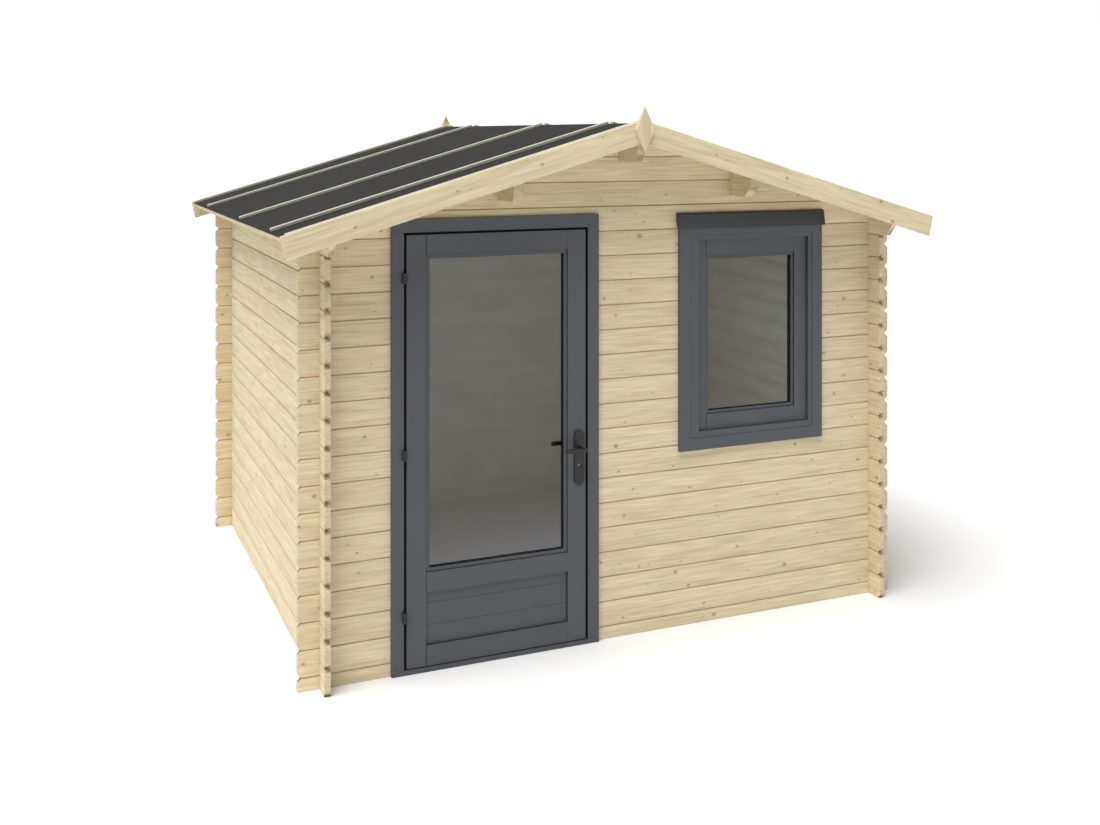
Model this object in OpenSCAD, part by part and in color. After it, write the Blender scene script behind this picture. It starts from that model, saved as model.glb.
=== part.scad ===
/* [Walls] */
// Height of one log course
log_pitch = 114; // [100:1:130]
// Thickness of a wall log
log_t = 28; // [24:1:34]
// Width over the outer faces of the side walls
wall_w = 2836; // [2700:1:3000]
// Depth over the outer faces of the front and back walls
wall_d = 2396; // [2200:1:2600]
// Length of a log end beyond the crossing wall's outer face
log_end = 92; // [70:1:110]
// Height of the eaves log at the wall's outer face
eaves_log_h = 123; // [114:1:134]
// Chamfer on the top and bottom corners of a log's end
end_chamfer = 18; // [10:1:24]
// Depth of the V-joint between two courses
joint_d = 5; // [2:0.5:7]
// Half of the height of the V-joint between two courses
joint_h = 3.5; // [1.5:0.5:5]
// Width of the groove that shows in a log's end, over each joint
groove_w = 8; // [6:1:12]
// Height of the groove over the joint
groove_h = 10; // [6:1:14]

/* [Roof] */
// Pitch of the roof, in degrees
roof_pitch = 16.2; // [14:0.1:18]
// Reach of the roof beyond the outer faces of the side walls
eaves_reach = 190; // [150:1:260]
// Reach of the roof deck beyond the outer faces of the front and back walls
gable_reach = 194; // [150:1:240]
// Thickness of the roof boards
deck_t = 15; // [12:1:22]
// Thickness of the roofing felt
felt_t = 3; // [2:0.5:5]
// Width of a purlin
purlin_w = 44; // [36:1:60]
// Distance from the ridge to the near face of a side purlin
purlin_x = 574; // [500:1:640]
// Height of the ridge purlin's side faces
ridge_purlin_h = 152; // [130:1:165]
// Height of a side purlin's foot over the foot of the gable
side_purlin_seat = 37; // [20:1:60]
// Lengths of the cuts under the ends of the left, ridge and right purlins
purlin_cuts = [20, 47, 62];
// Height of the cut under a purlin's end
purlin_cut_h = 50; // [30:1:70]
// Length of the cut under the end of an eaves log
eaves_cut_l = 53; // [20:1:60]
// Height of the cut under the end of an eaves log
eaves_cut_h = 65; // [30:1:75]
// Width of a batten over the felt
batten_w = 30; // [20:1:45]
// Thickness of a batten over the felt
batten_t = 13; // [8:1:20]
// Distances of the inner battens from the front wall's outer face
batten_places = [143, 958, 2084];
// Half of the gap between two battens at the ridge
batten_ridge_gap = 9; // [4:1:20]
// Distance from a batten's lower end to the eaves edge
batten_eaves_gap = 15; // [8:1:60]
// Width of the strip under the eaves edge
eaves_batten_w = 45; // [30:1:60]
// Thickness of the strip under the eaves edge
eaves_batten_t = 13; // [10:1:22]
// Distance of that strip inside the eaves edge
eaves_batten_in = 8; // [0:1:20]

/* [Bargeboards and finials] */
// Thickness of a bargeboard and of a finial
board_t = 18; // [14:1:24]
// Depth of a bargeboard, square to its edges
barge_h = 100; // [80:1:130]
// Height of a bargeboard's top edge over the felt
barge_rise = 11; // [2:1:16]
// Reach of a bargeboard's top edge beyond the eaves edge
barge_end_out = 14; // [0:1:30]
// Distance by which the foot of a bargeboard's end stands inside its top
barge_end_lean = 21; // [0:1:30]
// Width of a finial
finial_w = 95; // [80:1:110]
// Height of a finial
finial_h = 204; // [170:1:220]
// Height of a finial's top over the top of the bargeboards
finial_rise = 59; // [40:1:80]
// Distance from a finial's top to its widest part
finial_shoulder = 102; // [80:1:120]

/* [Door] */
// Distance of the door's centre line to the left of the ridge
door_x = 621; // [580:1:660]
// Width of the door leaf
leaf_w = 850; // [800:1:880]
// Height of the door leaf
leaf_h = 1868.5; // [1830:0.5:1880]
// Thickness of the door leaf
leaf_t = 44; // [36:1:50]
// Gap between the leaf's foot and the ground
foot_gap = 24.5; // [22:0.5:30]
// Gap between the leaf's foot and the sill below it
sill_gap = 5; // [5:0.5:8]
// Gap between the leaf's edges and the frame
leaf_gap = 10; // [8:1:12]
// Gap between the closed leaf and its stop
stop_gap = 5; // [5:1:8]
// Distance of the leaf's face behind the casing's face
leaf_recess = 4; // [0:1:8]
// Width of a stile of the leaf
stile_w = 90; // [75:1:100]
// Height of the leaf's top rail
top_rail_h = 88; // [70:1:100]
// Height of the leaf's foot rail
foot_rail_h = 88.5; // [75:0.5:110]
// Height of the bottom of the middle rail over the ground
mid_rail_z = 342; // [300:1:380]
// Height of the middle rail
mid_rail_h = 87; // [75:1:110]
// Thickness of the boarded panel
panel_t = 18; // [14:1:22]
// Distance of the panel's face behind the leaf's face
panel_recess = 12; // [6:1:14]
// Height of a panel board
panel_board_h = 95.5; // [80:0.5:110]
// Height over the ground of the panel's first board joint
panel_joint_z = 196.5; // [180:0.5:210]
// Width of the glazing bead of the door
door_bead_w = 17; // [12:1:22]
// Distance of the door's glass behind the leaf's face
door_glass_in = 10; // [6:1:14]

/* [Window] */
// Distance of the window's centre line to the right of the ridge
window_x = 693; // [650:1:720]
// Width over the window's casing
window_w = 804; // [760:1:860]
// Height of the foot of the window's casing
window_z = 826; // [780:1:860]
// Distance of the cap's top below the top of the door's casing
window_drop = 7; // [0:1:40]
// Height of the cap board
cap_h = 76; // [60:1:90]
// Reach of the cap beyond each side of the casing
cap_side = 10; // [5:1:16]
// Reach of the cap in front of the casing
cap_front = 14; // [6:1:24]
// Lean of the cap: its foot stands this far in front of its top
cap_lean = 10; // [4:1:14]
// Bevel along the cap's top edge
cap_bevel = 8; // [4:1:12]
// Height of the casing board that shows under the cap
window_head_h = 30; // [20:1:57]
// Widths of the fixed frame inside the casing: left, right, top and foot
window_frame_ws = [49, 22, 24, 29];
// Distance of the fixed frame's face behind the casing's face
window_frame_recess = 3; // [1:1:8]
// Width of the stop behind the sash
sash_stop_w = 20; // [14:1:30]
// Thickness of the window's sash
sash_t = 36; // [30:1:50]
// Distance of the sash's face behind the casing's face
sash_recess = 21; // [10:1:30]
// Widths of the sash's members that show: left, right, top and foot
sash_ws = [48, 72, 77, 76];
// Width of the glazing bead of the window
window_bead_w = 15; // [12:1:22]

/* [Casings and glass] */
// Width of the door's casing boards
casing_w = 55; // [45:1:70]
// Height of the casing board over the door
door_top_w = 58; // [40:1:62]
// Width of the window's casing boards
window_casing_w = 57; // [45:1:70]
// Thickness of the casing boards
casing_t = 18; // [14:1:24]
// Overlap of a casing on the logs beside the opening
casing_lap = 22; // [15:1:30]
// Depth of the door's and window's frames inside the wall's inner face
frame_inside = 40; // [30:1:50]
// Width of a door stop
stop_w = 14; // [12:1:16]
// Thickness of the flange that holds a frame against the wall's inner face
flange_t = 16; // [12:1:20]
// Thickness of the glass
glass_t = 4; // [3:1:6]

/* [Hinges and lock] */
// Height of the lowest hinge's middle over the ground
hinge_foot = 252; // [200:1:320]
// Distance of the highest hinge's middle below the leaf's top
hinge_head = 186; // [140:1:260]
// Place of the middle hinge, as a share of the way from the lowest to the highest
hinge_share = 0.478; // [0.4:0.001:0.6]
// Height of a hinge
hinge_h = 47; // [40:1:60]
// Radius of a hinge's knuckle
knuckle_r = 9.5; // [6:0.5:11]
// Radius of a hinge's pin
pin_r = 3.5; // [3:0.5:4]
// Running clearance round a pin or a spindle
run_gap = 0.05; // [0.02:0.01:0.1]
// Thickness of a hinge's plate
plate_t = 2.5; // [2:0.5:3]
// Depth of a hinge's plate along the leaf's edge
plate_d = 32; // [25:1:38]
// Distance of the lock's centre line from the leaf's closing edge
lock_x = 35; // [30:1:40]
// Width of a lock plate
lock_w = 49; // [40:1:54]
// Height of a lock plate
lock_h = 251; // [220:1:280]
// Thickness of a lock plate
lock_t = 8; // [6:1:12]
// Height of the lock plate's foot over the ground
lock_z = 730; // [700:1:760]
// Height of the lever's spindle over the ground
spindle_z = 901; // [880:1:915]
// Radius of the lever's spindle
spindle_r = 8.5; // [7:0.5:11]
// Free room round the spindle inside the leaf
spindle_room = 4; // [2:1:6]
// Length of a lever, from the middle of its spindle to its tip
lever_l = 90; // [80:1:120]
// Length of a lever's heel, behind the middle of its spindle
lever_heel = 15; // [12:1:17]
// Height of a lever's bar
lever_h = 18; // [14:1:24]
// Thickness of a lever's bar
lever_t = 12; // [8:1:16]
// Distance from a lock plate to its lever's bar
lever_out = 46; // [30:1:48]
// Height of the keyhole over the ground
keyhole_z = 821; // [810:1:835]
// Radius of the keyhole's round part
keyhole_r = 8.5; // [6:0.5:10]

/* [Hidden] */
$fn = 48;

timber = [0.84, 0.77, 0.63];
batten_grey = [0.77, 0.75, 0.69];
anthracite = [0.30, 0.33, 0.35];
cap_paint = [0.24, 0.25, 0.27];
felt_grey = [0.28, 0.28, 0.28];
metal_black = [0.1, 0.1, 0.1];
glass_grey = [0.45, 0.45, 0.42, 0.5];

// Top of the door's opening, its sill, and the whole courses of a side wall that end below it
door_top = foot_gap + leaf_h + leaf_gap;
sill_top = foot_gap - sill_gap;
side_courses = floor(door_top / log_pitch);

half_w = wall_w / 2;
half_d = wall_d / 2;
half_pitch = log_pitch / 2;
slope = tan(roof_pitch);
// A thickness square to the roof, measured upright
function upright(t) = t / cos(roof_pitch);
// Room that a cutting solid reaches past what it cuts
past = 50;
// Drawn gap under what lies on a slanting face
bed = 0.02;

// Underside of the roof deck at a distance from the ridge
eaves_z = side_courses * log_pitch + eaves_log_h;
function under(x) = eaves_z + (half_w - abs(x)) * slope;
// Distance from the ridge at which the underside of the deck has a height
function under_x(z) = half_w - (z - eaves_z) / slope;
roof_t = upright(deck_t + felt_t);
apex_z = under(0);
barge_top = apex_z + roof_t + upright(barge_rise);
deck_end = half_d + gable_reach;

// The front and back walls start with a half log, so their joints lie between the side walls'
front_joints = [for (z = [half_pitch : log_pitch : apex_z]) z];
side_joints = [for (i = [1 : side_courses]) i * log_pitch];
// The gable starts on the first joint that clears the door and window
gable_z = half_pitch + (side_courses + 1) * log_pitch;
// A crossing log is cut down to its middle half
neck = log_pitch / 4;

// ---- Sections and outlines of log walls ----

// Depth of the V-joint at a height: nothing where no course ends
function joint_at(z, joints) = len([for (j = joints) if (abs(j - z) < 0.01) j]) > 0 ? 1 : 0;
// Cross-section of a stack of logs, with its outer face at 0 and a V-joint at each course
module log_section(z0, z1, joints) {
    inside = [for (z = joints) if (z > z0 + joint_h && z < z1 - joint_h) z];
    foot = joint_at(z0, joints);
    head = joint_at(z1, joints);
    outer = concat(
        [[foot * joint_d, z0], [0, z0 + foot * joint_h + 1]],
        [for (z = inside) each [[0, z - joint_h], [joint_d, z], [0, z + joint_h]]],
        [[0, z1 - head * joint_h - 1], [head * joint_d, z1]]
    );
    polygon(concat(outer, [for (p = reversed(outer)) [log_t - p[0], p[1]]]));
}

// Run of logs along X between two heights, with its outer face towards -Y at y
module logs_along_x(x0, x1, z0, z1, y, joints) {
    translate([x0, y, 0]) rotate([90, 0, 90]) linear_extrude(x1 - x0) log_section(z0, z1, joints);
}

// Corner points of the log ends at x, from the foot up: each end is chamfered where it meets the next
function teeth(x, inwards, z0, z1, joints) = concat(
    [[x, z0]],
    [for (z = joints) if (z > z0 && z < z1 - end_chamfer) each [
        [x, z - end_chamfer], [x + inwards * end_chamfer, z], [x, z + end_chamfer]
    ]],
    [[x, z1]]
);
function reversed(list) = [for (i = [len(list) - 1 : -1 : 0]) list[i]];

// Outline drawn in X and Z, given a thickness along Y from y on
module upright_plate(points, y, t) {
    translate([0, y + t, 0]) rotate([90, 0, 0]) linear_extrude(t) polygon(points);
}
// Outline drawn in Y and Z, given a thickness along X from x on
module side_plate(points, x, t) {
    translate([x, 0, 0]) rotate([90, 0, 90]) linear_extrude(t) polygon(points);
}

// Room for the necks of the side logs, where they cross a front or back wall
module side_necks(y) {
    for (s = [-1, 1])
        for (i = [0 : side_courses])
            translate([s * (half_w - log_t / 2) - log_t / 2, y - past, i * log_pitch + neck])
                cube([log_t, log_t + 2 * past, 2 * neck]);
}
// Room for the necks of the front and back logs, where they cross a side wall
module front_necks(x) {
    for (s = [-1, 1])
        translate([x - past, s * (half_d - log_t / 2) - log_t / 2, 0]) {
            translate([0, 0, -past]) cube([log_t + 2 * past, log_t, neck + past]);
            for (i = [0 : side_courses])
                translate([0, 0, i * log_pitch + 3 * neck]) cube([log_t + 2 * past, log_t, 2 * neck]);
        }
}
// Room for the three purlins where they pass a gable
module purlin_holes(y) {
    for (x = [-purlin_x - purlin_w, -purlin_w / 2, purlin_x])
        translate([x, y - past, purlin_foot(x)])
            cube([purlin_w, log_t + 2 * past, log_pitch * 2]);
}
// Height of a purlin's foot, from the x of its left face
function purlin_foot(x) = abs(x + purlin_w / 2) < purlin_w
    ? under(purlin_w / 2) - ridge_purlin_h
    : gable_z + side_purlin_seat;

corner_x = half_w + log_end;
corner_y = half_d + log_end;
front_y = -half_d;
back_y = half_d - log_t;
// Distance that a groove goes in from the end of a log
groove_in = end_chamfer + groove_h;

// Grooves over the joints, in the ends of the logs that run along X with their outer face at y
module end_grooves_x(y) {
    for (s = [-1, 1])
        for (z = front_joints)
            if (z < gable_z - log_pitch)
                translate([s * corner_x - groove_in, y + (log_t - groove_w) / 2, z])
                    cube([2 * groove_in, groove_w, groove_h]);
}
// Grooves over the joints, in the ends of the side logs from x on
module end_grooves_y(x) {
    for (s = [-1, 1])
        for (i = [1 : side_courses - 1])
            translate([x + (log_t - groove_w) / 2, s * corner_y - groove_in, i * log_pitch])
                cube([groove_w, 2 * groove_in, groove_h]);
}

// Left or right end of the front wall, from the opening at x_open to the log ends
module front_end(side, x_open) {
    ends = teeth(side * corner_x, -side, 0, under(corner_x), front_joints);
    outline = concat([[x_open, 0]], ends, [[side * under_x(gable_z), gable_z], [x_open, gable_z]]);
    difference() {
        intersection() {
            logs_along_x(-corner_x, corner_x, 0, gable_z, front_y, front_joints);
            upright_plate(outline, front_y - past, log_t + 2 * past);
        }
        side_necks(front_y);
        end_grooves_x(front_y);
    }
}

// Gable logs over the first joint that clears the openings
module gable(y) {
    outline = [[-under_x(gable_z), gable_z], [under_x(gable_z), gable_z], [0, apex_z]];
    difference() {
        intersection() {
            logs_along_x(-half_w, half_w, gable_z, apex_z, y, front_joints);
            upright_plate(outline, y - past, log_t + 2 * past);
        }
        purlin_holes(y);
    }
}

// Door and window openings in the logs
door_left = -door_x - leaf_w / 2 - leaf_gap;
door_right = -door_x + leaf_w / 2 + leaf_gap;
door_hole = [door_left - casing_w + casing_lap, door_right + casing_w - casing_lap];
door_hole_top = door_top + door_top_w - casing_lap;
window_left = window_x - window_w / 2;
window_right = window_x + window_w / 2;
window_hole = [window_left + casing_lap, window_right - casing_lap];
window_hole_foot = window_z + casing_lap;
window_top = door_top + door_top_w - window_drop - cap_h;
window_hole_top = window_top - window_head_h + window_casing_w - casing_lap;

module front_wall_left() {
    color(timber) front_end(-1, door_hole[0]);
}
module front_wall_right() {
    color(timber) front_end(1, window_hole[1]);
}
module front_wall_middle() {
    color(timber) logs_along_x(door_hole[1], window_hole[0], 0, gable_z, front_y, front_joints);
}
module front_wall_under_window() {
    color(timber) logs_along_x(window_hole[0], window_hole[1], 0, window_hole_foot, front_y, front_joints);
}
module front_wall_over_window() {
    color(timber)
        logs_along_x(window_hole[0], window_hole[1], window_hole_top, gable_z, front_y, front_joints);
}
module front_wall_over_door() {
    color(timber) logs_along_x(door_hole[0], door_hole[1], door_hole_top, gable_z, front_y, front_joints);
}
module front_gable() {
    color(timber) gable(front_y);
}
module back_gable() {
    color(timber) gable(back_y);
}
module back_wall() {
    left = teeth(-corner_x, 1, 0, under(corner_x), front_joints);
    right = teeth(corner_x, -1, 0, under(corner_x), front_joints);
    top = [[under_x(gable_z), gable_z], [-under_x(gable_z), gable_z]];
    color(timber) difference() {
        intersection() {
            logs_along_x(-corner_x, corner_x, 0, gable_z, back_y, front_joints);
            upright_plate(concat(right, top, reversed(left)), back_y - past, log_t + 2 * past);
        }
        side_necks(back_y);
        end_grooves_x(back_y);
    }
}

// ---- Side walls ----

module side_wall(x) {
    top = side_courses * log_pitch;
    joints = concat([0], side_joints);
    front = teeth(-corner_y, 1, -past, top + past, joints);
    back = teeth(corner_y, -1, -past, top + past, joints);
    difference() {
        intersection() {
            translate([x, corner_y, 0]) rotate([90, 0, 0]) linear_extrude(2 * corner_y)
                log_section(0, top, side_joints);
            side_plate(concat(back, reversed(front)), x - past, log_t + 2 * past);
        }
        front_necks(x);
        end_grooves_y(x);
    }
}
module left_wall() {
    color(timber) side_wall(-half_w);
}
module right_wall() {
    color(timber) side_wall(half_w - log_t);
}

// Top log of a side wall: its top follows the roof, and it runs on to the bargeboards
module eaves_log(side) {
    foot = side_courses * log_pitch;
    outer = side * half_w;
    inner = side * (half_w - log_t);
    section = [
        [outer - side * joint_d, foot], [outer, foot + joint_h], [outer, under(outer)],
        [inner, under(inner)], [inner, foot + joint_h], [inner + side * joint_d, foot]
    ];
    x0 = min(outer, inner);
    difference() {
        upright_plate(section, -deck_end, 2 * deck_end);
        end_cuts(x0, log_t, foot, eaves_cut_l, eaves_cut_h);
        for (s = [-1, 1])
            translate([x0 - past, s * (half_d - log_t / 2) - log_t / 2, 0]) {
                translate([0, 0, foot - past]) cube([log_t + 2 * past, log_t, neck + past]);
                translate([0, 0, foot + 3 * neck]) cube([log_t + 2 * past, log_t, log_pitch]);
            }
    }
}
module left_eaves_log() {
    color(timber) eaves_log(-1);
}
module right_eaves_log() {
    color(timber) eaves_log(1);
}

// ---- Roof ----

// Slanting cuts under both ends of a timber that runs along Y, from x on and w wide
module end_cuts(x, w, foot, cut_l, cut_h) {
    for (s = [-1, 1])
        side_plate([
            [s * (deck_end - cut_l), foot], [s * deck_end, foot + cut_h],
            [s * (deck_end + past), foot + cut_h], [s * (deck_end + past), foot - past],
            [s * (deck_end - cut_l), foot - past]
        ], x - past, w + 2 * past);
}

module ridge_purlin() {
    x = purlin_w / 2;
    foot = purlin_foot(-x);
    color(timber) difference() {
        upright_plate([[-x, foot], [x, foot], [x, under(x)], [0, apex_z], [-x, under(x)]],
            -deck_end, 2 * deck_end);
        end_cuts(-x, purlin_w, foot, purlin_cuts[1], purlin_cut_h);
    }
}
module side_purlin(side, cut_l) {
    near = side * purlin_x;
    far = side * (purlin_x + purlin_w);
    foot = purlin_foot(purlin_x);
    difference() {
        upright_plate([[near, foot], [far, foot], [far, under(far)], [near, under(near)]],
            -deck_end, 2 * deck_end);
        end_cuts(min(near, far), purlin_w, foot, cut_l, purlin_cut_h);
    }
}
module left_purlin() {
    color(timber) side_purlin(-1, purlin_cuts[0]);
}
module right_purlin() {
    color(timber) side_purlin(1, purlin_cuts[2]);
}

// Slab that lies on the roof, between two distances down the slope and two heights over the deck's foot
module slope_slab(side, run0, run1, lift0, lift1, y0, y1) {
    translate([0, y1, apex_z + bed]) rotate([90, 0, 0]) linear_extrude(y1 - y0) polygon([
        for (p = [[run0, lift0], [run1, lift0], [run1, lift1], [run0, lift1]])
            [
                side * (p[0] * cos(roof_pitch) + p[1] * sin(roof_pitch)),
                p[1] * cos(roof_pitch) - p[0] * sin(roof_pitch)
            ]
    ]);
}
// Sheet that lies on the roof from the ridge to its eaves edge, mitred upright at the ridge
module slope_sheet(side, lift0, lift1, y0, y1) {
    translate([0, y1, apex_z + bed]) rotate([90, 0, 0]) linear_extrude(y1 - y0) polygon([
        [0, upright(lift0)], [0, upright(lift1)],
        for (p = [[eaves_run, lift1], [eaves_run, lift0]])
            [
                side * (p[0] * cos(roof_pitch) + p[1] * sin(roof_pitch)),
                p[1] * cos(roof_pitch) - p[0] * sin(roof_pitch)
            ]
    ]);
}
// Distance from the ridge to the eaves edge, and the length of the deck's underside down the slope
roof_half_w = half_w + eaves_reach;
eaves_run = (roof_half_w - (deck_t + felt_t) * sin(roof_pitch)) / cos(roof_pitch);

module left_roof_deck() {
    color(timber) slope_sheet(-1, 0, deck_t, -deck_end, deck_end);
}
module right_roof_deck() {
    color(timber) slope_sheet(1, 0, deck_t, -deck_end, deck_end);
}
module left_roof_felt() {
    color(felt_grey) slope_sheet(-1, deck_t, deck_t + felt_t, -deck_end, deck_end);
}
module right_roof_felt() {
    color(felt_grey) slope_sheet(1, deck_t, deck_t + felt_t, -deck_end, deck_end);
}
module roof_battens() {
    lift = deck_t + felt_t;
    // The foot of a slab's uphill end lies this far down the slope from the deck's apex
    start = (batten_ridge_gap - lift * sin(roof_pitch)) / cos(roof_pitch);
    // One more batten lies along each bargeboard
    verge = gable_reach - batten_w / 2;
    color(batten_grey)
        for (side = [-1, 1])
            for (y = concat([-verge], batten_places, [wall_d + verge]))
                slope_slab(side, start, eaves_run - batten_eaves_gap, lift + bed, lift + batten_t,
                    front_y + y - batten_w / 2, front_y + y + batten_w / 2);
}
module eaves_battens() {
    end = eaves_run - eaves_batten_in;
    color(timber)
        for (side = [-1, 1])
            slope_slab(side, end - eaves_batten_w, end, -eaves_batten_t, -bed, -deck_end, deck_end);
}

// Board along one slope, with a plumb cut at the ridge and a leaning cut at the eaves
module bargeboard(side, y) {
    foot = barge_top - upright(barge_h);
    top_end = roof_half_w + barge_end_out;
    foot_end = top_end - barge_end_lean;
    upright_plate([
        [0, barge_top], [0, foot],
        [side * foot_end, foot - foot_end * slope], [side * top_end, barge_top - top_end * slope]
    ], y, board_t);
}
barge_front = -deck_end - board_t;
barge_back = deck_end;
module front_left_bargeboard() {
    color(timber) bargeboard(-1, barge_front);
}
module front_right_bargeboard() {
    color(timber) bargeboard(1, barge_front);
}
module back_left_bargeboard() {
    color(timber) bargeboard(-1, barge_back);
}
module back_right_bargeboard() {
    color(timber) bargeboard(1, barge_back);
}

// Kite-shaped board that covers the joint of two bargeboards
module finial(y) {
    top = barge_top + finial_rise;
    upright_plate([
        [0, top], [-finial_w / 2, top - finial_shoulder], [0, top - finial_h],
        [finial_w / 2, top - finial_shoulder]
    ], y, board_t);
}
module front_finial() {
    color(timber) finial(barge_front - board_t);
}
module back_finial() {
    color(timber) finial(barge_back + board_t);
}

// ---- Door frame ----

casing_y = front_y - casing_t;
leaf_y = casing_y + leaf_recess;
frame_back = front_y + log_t + frame_inside;
stop_y = leaf_y + leaf_t + stop_gap;
flange_y = front_y + log_t;

// Plan of a frame member: the board in the wall, the stop behind the leaf and the inner flange
module jamb_plan() {
    board = casing_w - casing_lap;
    polygon([
        [0, front_y], [-board, front_y], [-board, flange_y], [-casing_w, flange_y],
        [-casing_w, flange_y + flange_t], [-board, flange_y + flange_t], [-board, frame_back],
        [stop_w, frame_back], [stop_w, stop_y], [0, stop_y]
    ]);
}
module door_jambs() {
    color(anthracite) {
        translate([door_left, 0, 0]) linear_extrude(door_top) jamb_plan();
        translate([door_right, 0, 0]) mirror([1, 0, 0]) linear_extrude(door_top) jamb_plan();
    }
}
// The head lies on the jambs and carries the stop over the leaf
module door_head() {
    board = door_top_w - casing_lap;
    reach = casing_w - casing_lap;
    color(anthracite) {
        translate([door_left - reach, 0, door_top]) rotate([90, 0, 90])
            linear_extrude(door_right - door_left + 2 * reach) polygon([
                [front_y, 0], [front_y, board], [flange_y, board], [flange_y, door_top_w],
                [flange_y + flange_t, door_top_w], [flange_y + flange_t, board],
                [frame_back, board], [frame_back, 0]
            ]);
        translate([door_left + stop_w, stop_y, door_top - stop_w])
            cube([door_right - door_left - 2 * stop_w, frame_back - stop_y, stop_w]);
    }
}
// The sill's front reaches from jamb to jamb, its rear from stop to stop
module door_threshold() {
    color(anthracite) linear_extrude(sill_top) {
        translate([door_left, front_y]) square([door_right - door_left, stop_y - front_y]);
        translate([door_left + stop_w, front_y])
            square([door_right - door_left - 2 * stop_w, frame_back - front_y]);
    }
}
module door_casing() {
    width = door_right - door_left + 2 * casing_w;
    color(anthracite) difference() {
        translate([door_left - casing_w, casing_y, 0]) cube([width, casing_t, door_top + door_top_w]);
        translate([door_left, casing_y - past, sill_top])
            cube([door_right - door_left, casing_t + 2 * past, door_top - sill_top]);
    }
}

// ---- Door leaf ----

leaf_left = door_left + leaf_gap;
leaf_right = door_right - leaf_gap;
leaf_top = foot_gap + leaf_h;
glass_foot = mid_rail_z + mid_rail_h;
glass_top = leaf_top - top_rail_h;
field_left = leaf_left + stile_w;
field_w = leaf_w - 2 * stile_w;
lock_cx = leaf_right - lock_x;
// Depth that a panel or a pane goes into its groove
groove = 8;

module door_leaf() {
    panel_foot = foot_gap + foot_rail_h;
    color(anthracite) difference() {
        translate([leaf_left, leaf_y, foot_gap]) cube([leaf_w, leaf_t, leaf_h]);
        translate([field_left, leaf_y - past, glass_foot])
            cube([field_w, leaf_t + 2 * past, glass_top - glass_foot]);
        translate([field_left, leaf_y - past, panel_foot])
            cube([field_w, leaf_t + 2 * past, mid_rail_z - panel_foot]);
        translate([field_left - groove, leaf_y + panel_recess, panel_foot - groove])
            cube([field_w + 2 * groove, panel_t, mid_rail_z - panel_foot + 2 * groove]);
        translate([lock_cx, leaf_y - past, spindle_z]) rotate([-90, 0, 0])
            cylinder(r = spindle_r + spindle_room, h = leaf_t + 2 * past);
        translate([lock_cx, leaf_y - past, keyhole_z]) rotate([-90, 0, 0])
            cylinder(r = keyhole_r, h = leaf_t + 2 * past);
    }
}
module door_panel() {
    foot = foot_gap + foot_rail_h - groove;
    top = mid_rail_z + groove;
    y = leaf_y + panel_recess;
    joints = [for (z = [panel_joint_z : panel_board_h : top - joint_h]) z];
    faces = [for (z = joints) each [[y, z - joint_h / 2], [y + joint_d / 2, z], [y, z + joint_h / 2]]];
    color(anthracite) side_plate(
        concat([[y, foot]], faces, [[y, top], [y + panel_t, top], [y + panel_t, foot]]),
        field_left - groove, field_w + 2 * groove
    );
}
// Square ring drawn in X and Z, w wide, with its outer corners given, t thick along Y from y on
module ring(x0, x1, z0, z1, w, y, t) {
    difference() {
        translate([x0, y, z0]) cube([x1 - x0, t, z1 - z0]);
        translate([x0 + w, y - past, z0 + w]) cube([x1 - x0 - 2 * w, t + 2 * past, z1 - z0 - 2 * w]);
    }
}
module door_beading() {
    behind = leaf_y + door_glass_in + glass_t;
    color(anthracite) {
        ring(field_left, field_left + field_w, glass_foot, glass_top, door_bead_w, leaf_y, door_glass_in);
        ring(field_left, field_left + field_w, glass_foot, glass_top, door_bead_w, behind,
            leaf_y + leaf_t - behind);
    }
}
module door_glass() {
    color(glass_grey) translate([field_left, leaf_y + door_glass_in, glass_foot])
        cube([field_w, glass_t, glass_top - glass_foot]);
}

// ---- Hinges and lock ----

// The hinge line stands on the casing's edge, just in front of it
hinge_x = door_left;
hinge_y = casing_y - knuckle_r - 1;
leaf_knuckle_z = hinge_h / 2;
hinge_high = leaf_top - hinge_head;
hinge_places = [hinge_foot, hinge_foot + hinge_share * (hinge_high - hinge_foot), hinge_high];
// Gap between the two knuckles of one hinge
knuckle_gap = 0.5;

// One side of a hinge: its plate at x, its knuckle from z0 to z1 and the strip that joins them
module hinge_side(x, z0, z1) {
    plate_y = leaf_y;
    translate([x, plate_y, 0]) cube([plate_t, plate_d, hinge_h]);
    translate([x, hinge_y, z0]) cube([plate_t, plate_y - hinge_y, z1 - z0]);
    translate([hinge_x, hinge_y, z0]) cylinder(r = knuckle_r, h = z1 - z0);
}
module frame_hinges() {
    color(metal_black) for (z = hinge_places) translate([0, 0, z - hinge_h / 2]) {
        hinge_side(door_left, 0, leaf_knuckle_z - knuckle_gap / 2);
        translate([hinge_x, hinge_y, 0]) cylinder(r = pin_r, h = hinge_h);
    }
}
module leaf_hinges() {
    color(metal_black) for (z = hinge_places) translate([0, 0, z - hinge_h / 2])
        difference() {
            hinge_side(leaf_left - plate_t, leaf_knuckle_z + knuckle_gap / 2, hinge_h);
            translate([hinge_x, hinge_y, -past]) cylinder(r = pin_r + run_gap, h = hinge_h + 2 * past);
        }
}

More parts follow.
